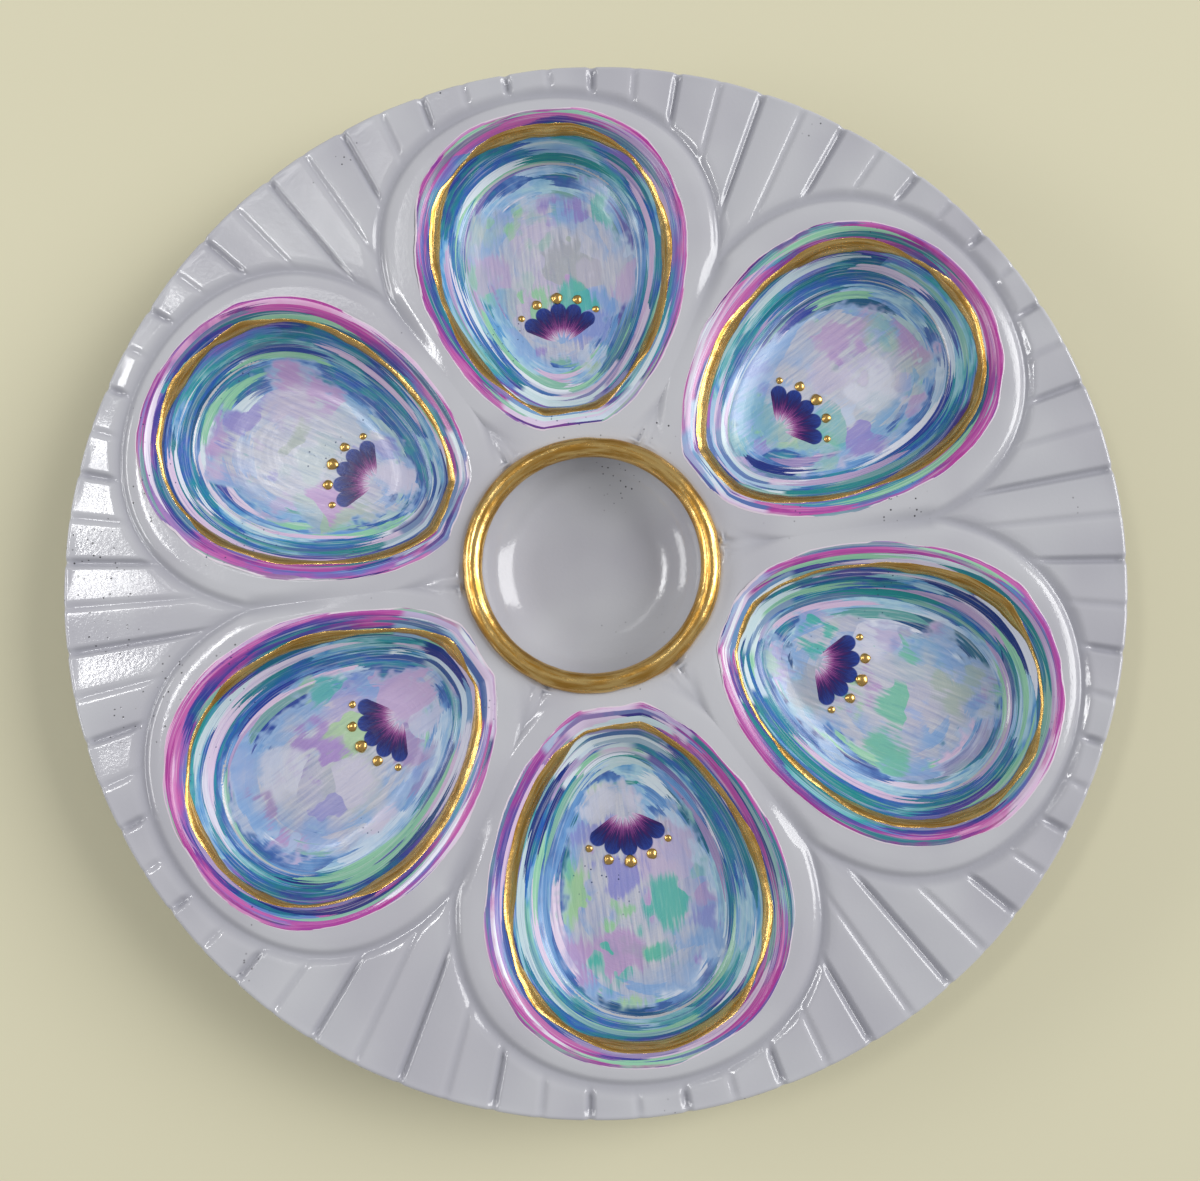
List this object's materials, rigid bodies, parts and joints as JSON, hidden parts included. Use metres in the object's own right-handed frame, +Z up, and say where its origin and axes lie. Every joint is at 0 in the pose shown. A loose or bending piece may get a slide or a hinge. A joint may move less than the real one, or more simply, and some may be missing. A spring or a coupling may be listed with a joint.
{
  "type": "oyster plate",
  "caption": "Round glazed oyster plate with a fluted rim, shell-shaped wells in raised collars and a gilded central sauce cup.",
  "frame": {"origin": "centre of the plate on the surface it stands on, under the foot ring", "axes": "+Z up out of the sauce cup; +X to the right and +Y to the top of the plate as it is pictured from above, with the first well 7.5 degrees past +Y"},
  "size_m": [0.27, 0.27, 0.0253],
  "materials": {
    "glaze": "glossy lavender-grey glaze",
    "enamel": "glossy brushed blue, teal and violet enamel",
    "gilding": "burnished gold, slightly uneven"
  },
  "bodies": {
    "root": {"plate_body": "glaze", "cup_rim_gilding": "gilding", "well_lining_1": "enamel", "well_lining_2": "enamel", "well_lining_3": "enamel", "well_lining_4": "enamel", "well_lining_5": "enamel", "well_lining_6": "enamel", "well_gilding_1": "gilding", "well_gilding_2": "gilding", "well_gilding_3": "gilding", "well_gilding_4": "gilding", "well_gilding_5": "gilding", "well_gilding_6": "gilding"}
  },
  "joints": []
}
